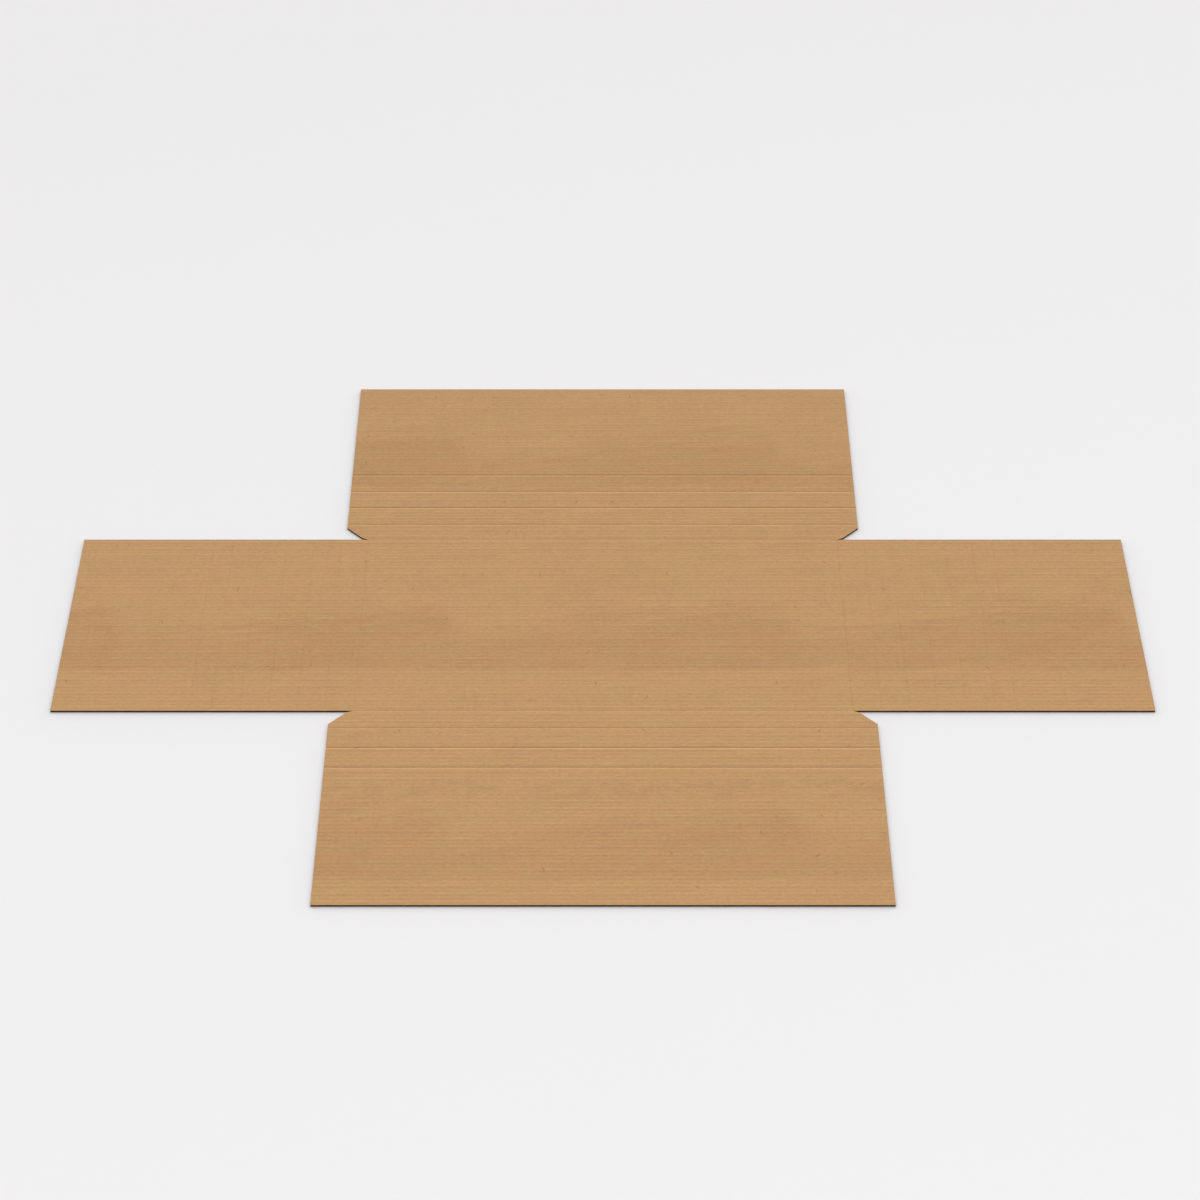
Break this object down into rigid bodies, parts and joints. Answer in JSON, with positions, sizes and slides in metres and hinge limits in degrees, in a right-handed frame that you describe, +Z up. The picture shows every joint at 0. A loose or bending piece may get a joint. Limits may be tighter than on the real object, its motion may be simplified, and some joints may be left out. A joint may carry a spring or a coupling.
{
  "type": "flattened cardboard box",
  "caption": "Flattened wrap mailer of plain brown corrugated board: a die-cut cross with a middle panel, folding flaps, chamfered inner corners and rows of pressed creases.",
  "frame": {"origin": "middle of the underside, below the centre of the middle panel", "axes": "+X along the flutes from the left side flap to the right one, +Y from the front flap to the back flap, +Z up out of the creased face"},
  "size_m": [0.774, 0.568, 0.0015],
  "materials": {
    "kraft_board": "matte"
  },
  "bodies": {
    "root": {"box_blank": "kraft_board"}
  },
  "joints": []
}
